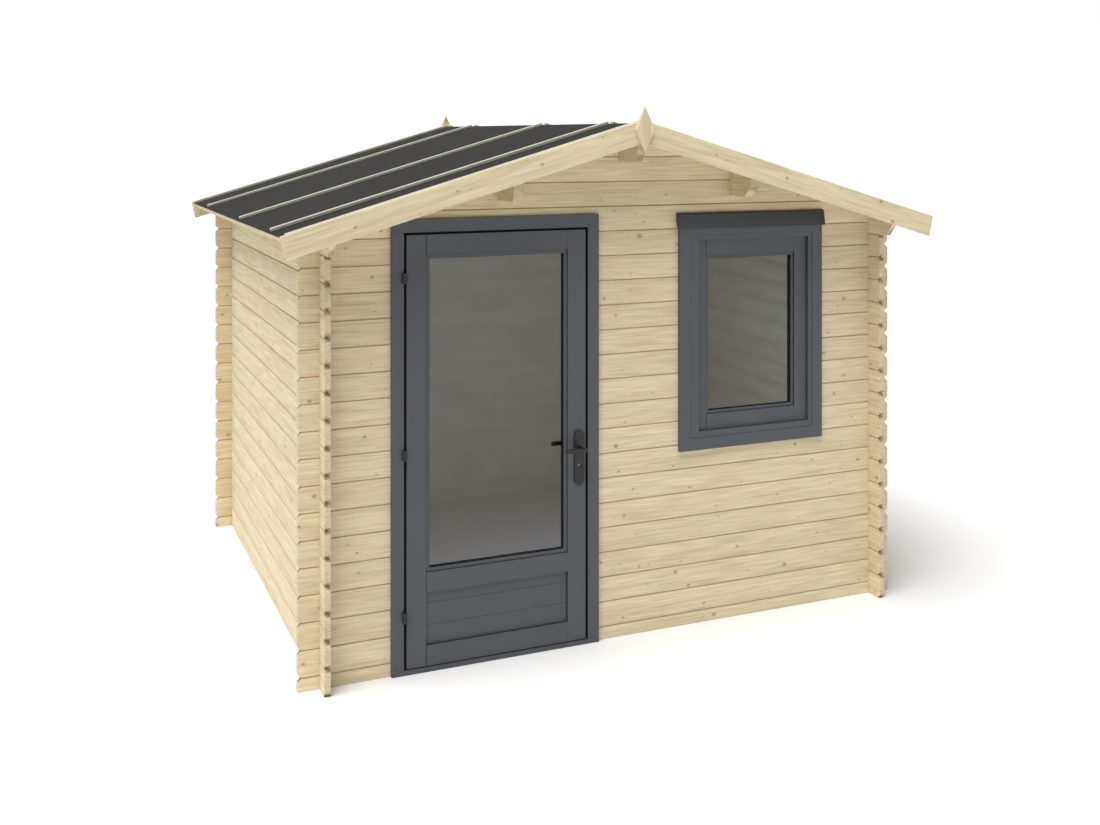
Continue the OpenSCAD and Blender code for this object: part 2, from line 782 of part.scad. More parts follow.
// Long plate with round ends, with holes for the spindle and the key
module lock_plate(y) {
    foot = lock_z + lock_w / 2;
    top = lock_z + lock_h - lock_w / 2;
    translate([lock_cx, y + lock_t, 0]) rotate([90, 0, 0]) difference() {
        union() {
            translate([-lock_w / 2, foot, 0]) cube([lock_w, top - foot, lock_t]);
            for (z = [foot, top]) translate([0, z, 0]) cylinder(r = lock_w / 2, h = lock_t);
        }
        translate([0, spindle_z, -past]) cylinder(r = spindle_r + run_gap, h = lock_t + 2 * past);
        translate([0, keyhole_z, -past]) cylinder(r = keyhole_r, h = lock_t + 2 * past);
    }
}
module door_lock() {
    color(metal_black) {
        lock_plate(leaf_y - lock_t);
        lock_plate(leaf_y + leaf_t);
    }
}
// Bar of one lever, from y on
module lever_bar(y) {
    translate([lock_cx - lever_l, y, spindle_z - lever_h / 2])
        cube([lever_l + lever_heel, lever_t, lever_h]);
}
module door_levers() {
    front = leaf_y - lock_t - lever_out;
    back = leaf_y + leaf_t + lock_t + lever_out;
    color(metal_black) {
        lever_bar(front - lever_t);
        lever_bar(back);
        translate([lock_cx, front, spindle_z]) rotate([-90, 0, 0])
            cylinder(r = spindle_r, h = back - front);
    }
}

// ---- Window ----

frame_x0 = window_left + window_casing_w;
frame_x1 = window_right - window_casing_w;
frame_z0 = window_z + window_casing_w;
frame_z1 = window_top - window_head_h;
sash_x0 = frame_x0 + window_frame_ws[0];
sash_x1 = frame_x1 - window_frame_ws[1];
sash_z0 = frame_z0 + window_frame_ws[3];
sash_z1 = frame_z1 - window_frame_ws[2];
sash_y = casing_y + sash_recess;
pane_x0 = sash_x0 + sash_ws[0];
pane_x1 = sash_x1 - sash_ws[1];
pane_z0 = sash_z0 + sash_ws[3];
pane_z1 = sash_z1 - sash_ws[2];

// Block with an opening through it, both drawn in X and Z, t thick along Y from y on
module pierced(x0, x1, z0, z1, hole_x0, hole_x1, hole_z0, hole_z1, y, t) {
    difference() {
        translate([x0, y, z0]) cube([x1 - x0, t, z1 - z0]);
        translate([hole_x0, y - past, hole_z0]) cube([hole_x1 - hole_x0, t + 2 * past, hole_z1 - hole_z0]);
    }
}
module window_casing() {
    color(anthracite) pierced(window_left, window_right, window_z, window_top,
        frame_x0, frame_x1, frame_z0, frame_z1, casing_y, casing_t);
}
// Leaning board over the casing, with its top against the wall
module window_cap() {
    head = window_top + cap_h;
    face = casing_y - cap_front;
    color(cap_paint) side_plate([
        [casing_y, window_top], [face, window_top], [face + cap_lean, head - cap_bevel],
        [face + cap_lean + cap_bevel, head], [front_y, head], [front_y, window_top + cap_h / 2]
    ], window_left - cap_side, window_w + 2 * cap_side);
}
// Fixed frame in the wall: it reaches from the casing's back to inside the room
module window_frame() {
    board = window_casing_w - casing_lap;
    face_y = casing_y + window_frame_recess;
    back_of_sash = sash_y + sash_t;
    color(anthracite) {
        pierced(frame_x0, frame_x1, frame_z0, frame_z1, sash_x0, sash_x1, sash_z0, sash_z1,
            face_y, frame_back - face_y);
        ring(window_hole[0], window_hole[1], window_hole_foot, window_hole_top, board,
            front_y, frame_back - front_y);
        ring(window_left, window_right, window_z, window_hole_top + casing_lap, window_casing_w,
            flange_y, flange_t);
        ring(sash_x0, sash_x1, sash_z0, sash_z1, sash_stop_w, back_of_sash, frame_back - back_of_sash);
    }
}
module window_sash() {
    color(anthracite) pierced(sash_x0, sash_x1, sash_z0, sash_z1, pane_x0, pane_x1, pane_z0, pane_z1,
        sash_y, sash_t);
}
module window_beading() {
    behind = sash_y + door_glass_in + glass_t;
    color(anthracite) {
        ring(pane_x0, pane_x1, pane_z0, pane_z1, window_bead_w, sash_y, door_glass_in);
        ring(pane_x0, pane_x1, pane_z0, pane_z1, window_bead_w, behind, sash_y + sash_t - behind);
    }
}
module window_glass() {
    color(glass_grey) translate([pane_x0, sash_y + door_glass_in, pane_z0])
        cube([pane_x1 - pane_x0, glass_t, pane_z1 - pane_z0]);
}

front_wall_left();
front_wall_middle();
front_wall_right();
front_wall_under_window();
front_wall_over_window();
front_wall_over_door();
front_gable();
back_wall();
back_gable();
left_wall();
right_wall();
left_eaves_log();
right_eaves_log();
ridge_purlin();
left_purlin();
right_purlin();
left_roof_deck();
right_roof_deck();
left_roof_felt();
right_roof_felt();
roof_battens();
eaves_battens();
front_left_bargeboard();
front_right_bargeboard();
back_left_bargeboard();
back_right_bargeboard();
front_finial();
back_finial();
door_jambs();
door_head();
door_threshold();
door_casing();
door_leaf();
door_panel();
door_beading();
door_glass();
frame_hinges();
leaf_hinges();
door_lock();
door_levers();
window_casing();
window_cap();
window_frame();
window_sash();
window_beading();
window_glass();
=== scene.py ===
import math

import bmesh
import bpy
from mathutils import Matrix, Vector


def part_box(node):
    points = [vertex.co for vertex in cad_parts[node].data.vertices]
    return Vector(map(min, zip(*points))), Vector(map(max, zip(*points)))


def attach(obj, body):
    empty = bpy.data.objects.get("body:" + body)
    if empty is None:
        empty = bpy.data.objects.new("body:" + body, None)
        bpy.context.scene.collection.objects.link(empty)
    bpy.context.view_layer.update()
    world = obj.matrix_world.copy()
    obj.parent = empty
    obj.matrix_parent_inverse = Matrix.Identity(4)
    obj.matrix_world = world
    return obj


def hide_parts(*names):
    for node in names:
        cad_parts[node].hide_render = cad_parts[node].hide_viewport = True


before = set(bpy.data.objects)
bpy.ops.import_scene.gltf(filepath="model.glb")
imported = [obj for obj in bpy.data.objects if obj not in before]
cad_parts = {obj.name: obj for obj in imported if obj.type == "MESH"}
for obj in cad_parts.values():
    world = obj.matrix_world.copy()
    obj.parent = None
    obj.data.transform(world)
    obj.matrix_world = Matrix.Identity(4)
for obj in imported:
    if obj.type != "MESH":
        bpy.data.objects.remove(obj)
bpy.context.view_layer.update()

# ---- Sizes that the frame's boxes don't give, in metres ----

COURSE = 0.114  # height of a log course
HALF_COURSE = COURSE / 2  # the front and back walls start with half a log
ROOF_PITCH = math.radians(16.2)
DECK_T = 0.015  # thickness of the roof boards
ROOF_BOARDS = 24  # boards on each slope
BOARD_GAP = 0.0002  # from a roof board to the middle of its joint
LEAF_GAP = 0.010  # between the door leaf and its casing
PANEL_GROOVE = 0.008  # depth of the panel's groove in the leaf
PANEL_JOINTS = (0.1965, 0.292)  # heights of the joints between the panel's boards
LEAF_BEAD_W, SASH_BEAD_W = 0.017, 0.015
BEAD_BACK = 0.0065  # from the face round a pane back to its bead
BEAD_REAR = 0.025  # depth of the bead behind a pane
REBATE = 0.004  # depth of the black strip of painted shade in the rebate round the sash
KEYHOLE = 0.821  # height of the keyhole

# Black strips of painted shade in the gaps, open joints and recesses, and black seals round the panes,
# that show as thin lines in the painted wood
FRAME_SHADE_STRIP = 0.0012  # thickness of the painted shade strip on the frame, in the gap round the leaf
HINGE_EDGE_SHADE = 0.0026  # painted shade strip in the leaf's hinge edge
LEAF_EDGE_SHADE = 0.001  # painted shade strips in the leaf's other edges
THIN_SEAL_AND_SHADE = 0.0006
SHADE_STRIP_BACK = 0.002  # from a face back to its strip of painted shade
JOINT_W = 0.0022  # open joint between a stile and a rail, filled with painted shade
CLOSED_JOINT = 0.0003
PANEL_JOINT_SHADES = (0.003, 0.006)  # front and back of the painted shade in the panel's joints, behind its face
HALF_PANEL_JOINT = 0.001

# Widths of the softened edges
PLAIN_EDGE = 0.0015  # of every piece that has none of its own below
TIMBER_EDGE = 0.002
ROOF_BOARD_EDGE = 0.003
FELT_EDGE = 0.0008
FRAME_EDGE = 0.001
LEAF_EDGE = 0.0006
HINGE_EDGE = 0.0008
LEVER_EDGE = 0.003

SHARP = math.radians(20)  # edges sharper than this are softened and shade as edges
FLAT = math.radians(0.5)  # faces at less than this angle are one face
NEAR = 0.00001  # points nearer than this are one point

HOUSE, DOOR, LEVER = "house", "door", "lever"
SPRUCE, PAINT, BLACK = "spruce", "anthracite_paint", "black_metal"  # material slots


def placed(name, data):
    """A new object in the scene."""
    made = bpy.data.objects.new(name, data)
    bpy.context.scene.collection.objects.link(made)
    return made


# ---- Camera ----

LENS, SENSOR = 40.51, 36  # in millimetres
SHIFT = -0.2522
EYE = (-2.560, -6.351, 2.323)
HEADING = math.radians(-23.05)

camera_data = bpy.data.cameras.new("camera")
camera_data.sensor_width = SENSOR
camera_data.lens = LENS
camera_data.shift_y = SHIFT
camera = placed("camera", camera_data)
camera.location = EYE
camera.rotation_euler = (math.radians(90), 0, HEADING)
bpy.context.scene.camera = camera
bpy.context.scene.view_settings.view_transform = "Standard"


# ---- Node trees ----

def tint(red, green, blue):
    """A colour written in screen values, as the shaders take it."""
    def linear(value):
        value /= 255
        return value / 12.92 if value <= 0.04045 else ((value + 0.055) / 1.055) ** 2.4
    return (linear(red), linear(green), linear(blue), 1)


def grey(value):
    return (value, value, value, 1)


class Graph:
    """Short ways to add nodes to the tree of a material or a world."""

    def __init__(self, owner, empty=False):
        owner.use_nodes = True
        self.owner = owner
        self.nodes, self.links = owner.node_tree.nodes, owner.node_tree.links
        if empty:
            self.nodes.clear()

    def put(self, socket, value):
        if isinstance(value, bpy.types.NodeSocket):
            self.links.new(value, socket)
        else:
            socket.default_value = value

    def node(self, kind, inputs, **settings):
        node = self.nodes.new("ShaderNode" + kind)
        for key, value in settings.items():
            setattr(node, key, value)
        for key, value in inputs.items():
            self.put(node.inputs[key], value)
        return node

    def shader(self, kind, **inputs):
        return self.node(kind, inputs).outputs[0]

    # Sums

    def math(self, operation, *values):
        return self.node("Math", dict(enumerate(values)), operation=operation).outputs[0]

    def plus(self, a, b):
        return self.math("ADD", a, b)

    def minus(self, a, b):
        return self.math("SUBTRACT", a, b)

    def times(self, a, b):
        return self.math("MULTIPLY", a, b)

    def over(self, a, b):
        return self.math("DIVIDE", a, b)

    def line(self, value, slope, start):
        """value * slope + start"""
        return self.math("MULTIPLY_ADD", value, slope, start)

    def wave(self, value, rate):
        """A sine between 0 and 1."""
        return self.line(self.math("SINE", self.times(value, rate)), 0.5, 0.5)

    def length(self, a, b):
        return self.math("SQRT", self.plus(self.math("POWER", a, 2.0), self.math("POWER", b, 2.0)))

    def step(self, value, low, high, start=0.0, end=1.0):
        """Runs smoothly from start to end while the value goes from low to high."""
        inputs = {"Value": value, "From Min": low, "From Max": high, "To Min": start, "To Max": end}
        return self.node("MapRange", inputs, interpolation_type="SMOOTHSTEP").outputs[0]

    def xyz(self, x, y, z):
        return self.node("CombineXYZ", {"X": x, "Y": y, "Z": z}).outputs[0]

    def axes(self, vector):
        return self.node("SeparateXYZ", {"Vector": vector}).outputs

    def parts(self, colour):
        return self.node("SeparateColor", {"Color": colour}).outputs

    def rays(self, *kinds):
        """1 for the kinds of ray named, and 0 for all others."""
        path = self.node("LightPath", {})
        total = path.outputs[f"Is {kinds[0]} Ray"]
        for kind in kinds[1:]:
            total = self.math("MAXIMUM", total, path.outputs[f"Is {kind} Ray"])
        return total

    # Patterns and colours

    def noise(self, vector, scale, detail=2.0, rough=0.5):
        inputs = {"Vector": vector, "Scale": scale, "Detail": detail, "Roughness": rough}
        return self.node("TexNoise", inputs).outputs["Fac"]

    def streaks(self, place, rates, detail, rough=0.5):
        """Noise that changes at its own rate on each of the three axes."""
        scaled = [self.times(value, rate) for value, rate in zip(place, rates)]
        return self.noise(self.xyz(*scaled), 1.0, detail, rough)

    def mix(self, factor, a, b, blend="MIX"):
        node = self.node("Mix", {0: factor}, data_type="RGBA", blend_type=blend)
        self.put(node.inputs[6], a)
        self.put(node.inputs[7], b)
        return node.outputs[2]

    def shade(self, colour, factor):
        """The colour, lighter or darker by a grey factor."""
        return self.mix(1.0, colour, self.xyz(factor, factor, factor), "MULTIPLY")

    def tone(self, a, a_share, b, b_share):
        """A grey factor near 1 from two patterns, each with its share of the contrast."""
        return self.plus(self.line(a, a_share, 1 - a_share / 2), self.line(b, b_share, -b_share / 2))

    def place(self, turn):
        """The point and the surface's normal, turned so that the grain runs along X."""
        source = self.node("TexCoord", {})
        point = self.node("Mapping", {"Vector": source.outputs["Object"], "Rotation": turn})
        normal = self.node("Mapping", {"Vector": source.outputs["Normal"], "Rotation": turn},
                           vector_type="VECTOR")
        return point.outputs[0], normal.outputs[0]

    def bump(self, height, depth, strength):
        inputs = {"Height": height, "Distance": depth, "Strength": strength}
        return self.node("Bump", inputs).outputs[0]

    def finish(self, colour, rough, height, depth, strength, **values):
        """Sets the material's own shader; an underscore in a value's name stands for a space."""
        inputs = self.nodes["Principled BSDF"].inputs
        self.put(inputs["Base Color"], colour)
        self.put(inputs["Roughness"], rough)
        self.put(inputs["Normal"], self.bump(height, depth, strength))
        for key, value in values.items():
            self.put(inputs[key.replace("_", " ")], value)
        return self.owner


def new_graph(name, empty=False):
    """The node tree of a new material."""
    return Graph(bpy.data.materials.new(name), empty)


# ---- Timber ----

ALONG_X = (0, 0, 0)
ALONG_Y = (0, 0, math.radians(-90))
UPRIGHT = (0, math.radians(90), 0)
LEFT_SLOPE = (0, ROOF_PITCH, 0)
RIGHT_SLOPE = (0, -ROOF_PITCH, 0)
LEFT_BOARDS = (math.radians(90), 0, ROOF_PITCH)
RIGHT_BOARDS = (math.radians(90), 0, -ROOF_PITCH)

# The last colour of each palette is painted shade, for chamfered ends of logs and boards, where two ends
# meet in a dark notch
NEW_WOOD = {"light": tint(224, 210, 177), "late": tint(206, 188, 148), "knot": tint(140, 120, 86),
            "end": tint(204, 187, 150), "halo": tint(212, 190, 154), "cut": tint(140, 122, 92)}
# The purlins' wood is painted darker, for the shade under the roof's overhang
SHADED_PURLINS = dict(NEW_WOOD, light=tint(210, 194, 156), late=tint(194, 175, 132), end=tint(182, 166, 130))
WEATHERED = {"light": tint(197, 193, 178), "late": tint(183, 178, 162), "knot": tint(144, 136, 118),
             "end": tint(198, 195, 184), "halo": tint(188, 182, 165), "cut": tint(170, 166, 150)}
# Painted shade for the V-joints between the logs
PAINTED_JOINT_SHADE = tint(158, 124, 74)

LAYER = 0.3  # logs that stand further apart in depth have patterns of their own
LAYER_DICE, LONGEST_SHIFT = 37.0, 23.0  # set the patterns of logs and layers apart
KNOT_SPACING, SPECK_SPACING, SPECK_SHIFT = 0.41, 0.19, 7.3
KNOT_RADII, SPECK_RADII = (0.005, 0.0105), (0.002, 0.0055)
KNOT_CORE, KNOT_HALO = (0.5, 1.15), (0.6, 3.0)  # where they fade out, in radii
KNOT_STRETCH = 1.3  # a knot is so much longer than high
FINE_RINGS, BROAD_RINGS = 1250.0, 420.0  # year rings, in radians per metre
PITH_DEPTH = 0.12  # the pith lies within half of this before or behind the middle
RING_DRIFT, KNOT_BEND = 0.05, 0.008  # how far the rings wander, and how far they pass round a knot
END_GRAIN, CHAMFER = (0.55, 0.75), (0.6, 0.68)  # where the normal's share begins to count and is full
JOINT_SHADE = (0.0015, 0.005)  # painted shade in a joint's V-groove: its dark line fades between these distances
GRAIN_CONTRAST, LOG_CONTRAST = 0.72, 0.05

# How fast each pattern changes along, into and up the log
DRIFT_RATES = (1.3, 4.0, 4.0)
FINE_RATES = (5.0, 60.0, 95.0)
STREAK_RATES = (2.2, 25.0, 42.0)
PATCH_RATES = (2.6, 1.0, 15.0)


def knots_in(g, run, depth, in_log, pitch, spacing, presence, radii):
    """Knots along each log, at most one in each length of the spacing: the knot and its halo."""
    small, large = radii
    cell = g.node("TexVoronoi", {"W": g.over(run, spacing), "Scale": 1.0}, voronoi_dimensions="1D")
    dice_1, dice_2, dice_3 = g.parts(cell.outputs["Color"])
    off_run = g.minus(g.times(cell.outputs["W"], spacing), run)
    off_height = g.minus(g.times(g.line(dice_1, 0.76, 0.12), pitch), in_log)
    away = g.length(g.over(off_run, KNOT_STRETCH), off_height)
    wobble = g.noise(g.xyz(run, depth, in_log), 110.0, 2.0)
    away = g.times(away, g.line(wobble, 0.9, 0.55))
    share = g.over(away, g.line(dice_3, large - small, small))
    shown = g.math("LESS_THAN", dice_2, presence)
    return [g.times(g.step(share, *fade, 1.0, 0.0), shown) for fade in (KNOT_CORE, KNOT_HALO)]


def timber(name, turn, palette=NEW_WOOD, pitch=COURSE, start=0.0, joints=False, knots=0.6):
    """Sawn softwood. Each log or board, a pitch apart from start on, has its own rings and knots."""
    g = new_graph(name)
    point, normal = g.place(turn)
    along, depth, height = g.axes(point)
    row = g.over(g.minus(height, start), pitch)
    in_log = g.times(g.math("FRACT", row), pitch)
    layer = g.math("ROUND", g.over(depth, LAYER))
    in_layer = g.minus(depth, g.times(layer, LAYER))
    log_id = g.line(layer, LAYER_DICE, g.math("FLOOR", row))
    dice = g.node("TexWhiteNoise", {"W": log_id}, noise_dimensions="1D")
    dice_1, dice_2, dice_3 = g.parts(dice.outputs["Color"])
    run = g.line(dice_1, LONGEST_SHIFT, along)
    where = (run, depth, height)

    knot, halo = knots_in(g, run, depth, in_log, pitch, KNOT_SPACING, knots, KNOT_RADII)
    speck, speck_halo = knots_in(g, g.plus(run, SPECK_SHIFT), depth, in_log, pitch, SPECK_SPACING,
                                 knots, SPECK_RADII)
    halo = g.math("MAXIMUM", halo, speck_halo)

    # Year rings round a pith behind the face, bent past the knots
    drift = g.streaks(where, DRIFT_RATES, 2.0)
    side_way = g.minus(in_log, g.times(dice_2, pitch))
    pith = g.minus(in_layer, g.line(dice_3, PITH_DEPTH, -PITH_DEPTH / 2))
    ring = g.length(side_way, pith)
    ring = g.line(drift, RING_DRIFT, ring)
    ring = g.line(halo, KNOT_BEND, ring)
    lines, broad = g.wave(ring, FINE_RINGS), g.wave(ring, BROAD_RINGS)
    # Thin streaks of some 0.2 m, in two sizes, and slow changes of hue
    fine = g.streaks(where, FINE_RATES, 4.0, 0.62)
    streak = g.streaks(where, STREAK_RATES, 2.0)
    patch = g.streaks(where, PATCH_RATES, 1.0)

    # End grain, where the surface faces along the log, and painted shade on the chamfers of the log ends,
    # where two ends meet in a dark notch
    across, _, upward = g.axes(normal)
    across, upward = g.math("ABSOLUTE", across), g.math("ABSOLUTE", upward)
    end = g.step(across, *END_GRAIN)
    cut = g.times(g.step(g.math("MINIMUM", across, upward), *CHAMFER), 0.75)

    # Late wood in the rings and streaks, then each stain and the painted chamfer shade, as strong as it
    # shows
    late = g.plus(g.times(lines, 0.2), g.times(broad, 0.14))
    late = g.plus(late, g.step(streak, 0.48, 0.72, 0.0, 0.5))
    colour = g.mix(late, palette["light"], palette["late"])
    for factor, stain in ((g.step(patch, 0.42, 0.7, 0.0, 0.4), "halo"), (g.times(end, 0.6), "end"),
                          (g.times(halo, 0.3), "halo"), (g.times(speck, 0.45), "knot"),
                          (g.times(knot, 0.62), "knot"), (cut, "cut")):
        colour = g.mix(factor, colour, palette[stain])
    colour = g.shade(colour, g.tone(fine, GRAIN_CONTRAST, dice_2, LOG_CONTRAST))
    # Painted shade: the V-groove between two logs darkens to a brown line
    if joints:
        edge = g.math("MINIMUM", in_log, g.minus(pitch, in_log))
        colour = g.mix(g.step(edge, *JOINT_SHADE, 0.5, 0.0), colour, PAINTED_JOINT_SHADE)
    relief = g.plus(g.times(lines, 0.5), g.plus(fine, g.times(knot, 0.8)))
    return g.finish(colour, g.line(streak, 0.2, 0.55), relief, 0.0004, 0.7)


# ---- Paint, felt, metal and glass ----

PAINTED_GRAIN = (6.0, 160.0, 160.0)  # rates of change, as above
CHIPS = 420.0  # mineral chips in a metre


def paint(name, turn, colour):
    """Opaque paint on wood: the grain shows through as a fine relief."""
    g = new_graph(name)
    point, _ = g.place(turn)
    grain = g.streaks(g.axes(point), PAINTED_GRAIN, 3.0, 0.6)
    cloud = g.noise(point, 3.5)
    relief = g.line(g.noise(point, 900.0, 1.0), 0.15, grain)
    colour = g.shade(colour, g.tone(grain, 0.14, cloud, 0.16))
    return g.finish(colour, g.line(grain, 0.22, 0.42), relief, 0.0003, 0.6)


def felt():
    """Roofing felt with fine mineral chips."""
    g = new_graph("roofing_felt")
    point, _ = g.place(ALONG_X)
    chips = g.node("TexVoronoi", {"Vector": point, "Scale": CHIPS})
    shade = g.parts(chips.outputs["Color"])[0]
    colour = g.mix(shade, tint(35, 35, 34), tint(52, 51, 50))
    colour = g.shade(colour, g.line(g.noise(point, 2.2, 3.0), 0.2, 0.9))
    return g.finish(colour, g.line(shade, 0.2, 0.75), chips.outputs["Distance"], 0.0006, 0.5,
                    Specular_IOR_Level=0.06)


def metal(name, colour, metallic, rough):
    """Metal with a fine powder coat or brushed skin."""
    g = new_graph(name)
    point, _ = g.place(ALONG_X)
    grain, cloud = g.noise(point, 1400.0), g.noise(point, 35.0)
    colour = g.shade(colour, g.tone(grain, 0.2, cloud, 0.2))
    return g.finish(colour, g.line(cloud, 0.18, rough - 0.09), grain, 0.00008, 0.5, Metallic=metallic)


GLASS_LOW, GLASS_HIGH = (0.645, 0.695, 0.79, 1), (0.665, 0.715, 0.81, 1)  # of each face of a pane
GLASS_IOR = 1.45
GLASS_BLUR = 0.14
GLASS_GLOSS = 0.1
DAYLIGHT_THROUGH = 0.97


def glass():
    """Tinted glass. It dims and softens what lies behind, lets daylight in and has a faint gloss."""
    g = new_graph("glass", empty=True)
    point, _ = g.place(ALONG_X)
    seen = g.mix(g.noise(point, 2.5, 3.0), GLASS_LOW, GLASS_HIGH)
    let_in = g.shader("BsdfTransparent", Color=grey(DAYLIGHT_THROUGH))
    view = g.shader("BsdfRefraction", Color=seen, Roughness=GLASS_BLUR, IOR=GLASS_IOR)
    clear = g.node("MixShader", {0: g.rays("Camera", "Transmission"), 1: let_in, 2: view}).outputs[0]
    waves = g.bump(g.noise(point, 1.2, 1.0), 0.0008, 0.3)
    gloss = g.shader("BsdfGlossy", Color=grey(1), Roughness=0.04, Normal=waves)
    edge = g.times(g.node("Fresnel", {"IOR": GLASS_IOR, "Normal": waves}).outputs[0], GLASS_GLOSS)
    both = g.node("MixShader", {0: edge, 1: clear, 2: gloss}).outputs[0]
    g.node("OutputMaterial", {"Surface": both})
    return g.owner


front_logs = timber("front_logs", ALONG_X, start=HALF_COURSE, joints=True)
side_logs = timber("side_logs", ALONG_Y, joints=True)
long_timber = timber("long_timber", ALONG_Y, pitch=0.5, start=0.11)
shaded_purlin_timber = timber("shaded_purlin_timber", ALONG_Y, SHADED_PURLINS, pitch=0.5, start=0.11)
eaves_strip = timber("eaves_strip", ALONG_Y, pitch=0.5, start=0.2, knots=0.3)
left_board = timber("left_slope_board", LEFT_SLOPE, pitch=0.13, start=2.18, knots=0.7)
right_board = timber("right_slope_board", RIGHT_SLOPE, pitch=0.13, start=2.18, knots=0.7)
upright_board = timber("upright_board", UPRIGHT, pitch=0.6, start=0.1, knots=0.3)
left_boards = timber("left_roof_boards", LEFT_BOARDS, pitch=0.116)
right_boards = timber("right_roof_boards", RIGHT_BOARDS, pitch=0.116)
left_batten = timber("left_battens", LEFT_SLOPE, WEATHERED, pitch=0.6, start=0.1, knots=0.2)
right_batten = timber("right_battens", RIGHT_SLOPE, WEATHERED, pitch=0.6, start=0.1, knots=0.2)
ANTHRACITE = tint(74, 78, 83)
paint_level = paint("anthracite_level", ALONG_X, ANTHRACITE)
paint_upright = paint("anthracite_upright", UPRIGHT, ANTHRACITE)
cap_paint = paint("cap_paint", ALONG_X, tint(56, 58, 61))
felt_skin = felt()
black = metal("black_metal", tint(15, 15, 19), 0.0, 0.42)
nickel = metal("nickel", tint(122, 122, 121), 1.0, 0.45)
# Black for the seals round the panes, and for strips of painted shade in gaps, joints and recesses
seal_and_shade_black = metal("seal", tint(5, 5, 6), 0.0, 0.9)
pane = glass()


# ---- Making pieces ----

def piece(name, bm, material, body, slot, *nodes):
    """Turns a bmesh into a piece that rides on a body and stands for CAD nodes."""
    mesh = bpy.data.meshes.new(name)
    bmesh.ops.recalc_face_normals(bm, faces=bm.faces)
    bm.to_mesh(mesh)
    bm.free()
    for face in mesh.polygons:
        face.material_index = 0
    mesh.materials.append(material)
    mesh.shade_smooth()
    mesh.set_sharp_from_angle(angle=SHARP)
    made = placed(name, mesh)
    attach(made, body)
    if nodes:
        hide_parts(*nodes)


def soften(bm, edges, width, segments=2):
    if width:
        bmesh.ops.bevel(bm, geom=list(edges), offset=width, offset_type="OFFSET", segments=segments,
                        profile=0.5, affect="EDGES", clamp_overlap=True)


def lies_in(edge, planes):
    """True if an edge lies in one of some planes across X."""
    return any(all(abs(v.co.x - x) < NEAR for v in edge.verts) for x in planes)


def copied(node, width=PLAIN_EDGE, segments=2, seams=()):
    """A CAD node's shape with clean faces and softened edges, but for those in the seams' planes."""
    bm = bmesh.new()
    bm.from_mesh(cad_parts[node].data)
    bmesh.ops.remove_doubles(bm, verts=bm.verts, dist=NEAR)
    bmesh.ops.dissolve_limit(bm, angle_limit=FLAT, verts=bm.verts, edges=bm.edges)
    edges = [e for e in bm.edges if len(e.link_faces) == 2 and e.calc_face_angle(0) > SHARP
             and not lies_in(e, seams)]
    soften(bm, edges, width, segments)
    normals = bm.loops.layers.float_vector.get("custom_normal")
    if normals:
        bm.loops.layers.float_vector.remove(normals)
    return bm


def dressed(name, node, material, slot, body=HOUSE, width=PLAIN_EDGE, segments=2, seams=()):
    """A piece that is a CAD node with softened edges."""
    piece(name, copied(node, width, segments, seams), material, body, slot, node)


def block(bm, low, high, width):
    """Adds a box with softened edges."""
    low, high = Vector(low), Vector(high)
    size = Matrix.Diagonal((*(high - low), 1))
    made = bmesh.ops.create_cube(bm, size=1, matrix=Matrix.Translation((low + high) / 2) @ size)
    soften(bm, {e for v in made["verts"] for e in v.link_edges}, width)


def prism(bm, outline, low, high, width, segments=2):
    """Adds a plate with an outline in X and Z, between two places along Y."""
    front = [bm.verts.new((x, low, z)) for x, z in outline]
    back = [bm.verts.new((x, high, z)) for x, z in outline]
    faces = [bm.faces.new(front), bm.faces.new(list(reversed(back)))]
    for i in range(len(front)):
        j = (i + 1) % len(front)
        faces.append(bm.faces.new((front[j], front[i], back[i], back[j])))
    soften(bm, {e for f in faces for e in f.edges}, width, segments)


def mitred(bm, x0, x1, z0, z1, w, low, high, width=0):
    """Adds four mitred strips round an opening, w wide, between two places along Y."""
    outer = [(x0, z0), (x1, z0), (x1, z1), (x0, z1)]
    inner = [(x0 + w, z0 + w), (x1 - w, z0 + w), (x1 - w, z1 - w), (x0 + w, z1 - w)]
    for i in range(4):
        j = (i + 1) % 4
        prism(bm, [outer[i], outer[j], inner[j], inner[i]], low, high, width)


def turned(bm, profile, centre, steps=48):
    """Adds a form turned round Y: profile is a list of (radius, distance along Y)."""
    rings = []
    for radius, distance in profile:
        ring = []
        for i in range(steps if radius else 1):
            angle = 2 * math.pi * i / steps
            local = (radius * math.cos(angle), distance, radius * math.sin(angle))
            ring.append(bm.verts.new(Vector(centre) + Vector(local)))
        rings.append(ring)
    for low, high in zip(rings, rings[1:]):
        for i in range(steps):
            j = (i + 1) % steps
            corners = [low[i % len(low)], low[j % len(low)], high[j % len(high)], high[i % len(high)]]
            bm.faces.new(list(dict.fromkeys(corners)))


